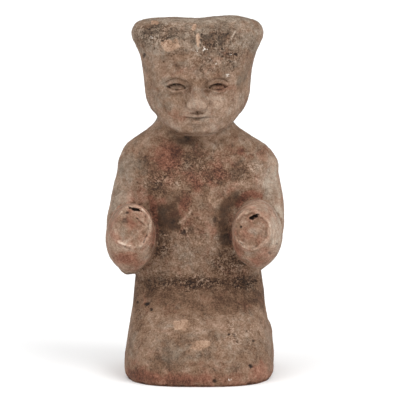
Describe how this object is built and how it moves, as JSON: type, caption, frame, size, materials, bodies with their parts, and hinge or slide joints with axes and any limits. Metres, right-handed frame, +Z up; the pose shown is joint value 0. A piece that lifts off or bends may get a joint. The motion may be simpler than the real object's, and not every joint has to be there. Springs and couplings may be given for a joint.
{
  "type": "pottery figure",
  "caption": "Kneeling figure in fired earthenware with a flat-topped head and short sleeve stubs held forward, standing on a flat underside.",
  "frame": {"origin": "on the ground, at the middle of the footprint", "axes": "+Z up, the face and stubs towards -Y, +X to the right of a viewer who faces the figure"},
  "size_m": [0.1242, 0.113, 0.25],
  "materials": {
    "fired_clay": "matt unglazed earthenware, weathered, with earth film and traces of red"
  },
  "bodies": {
    "root": {"figure": "fired_clay"}
  },
  "joints": []
}
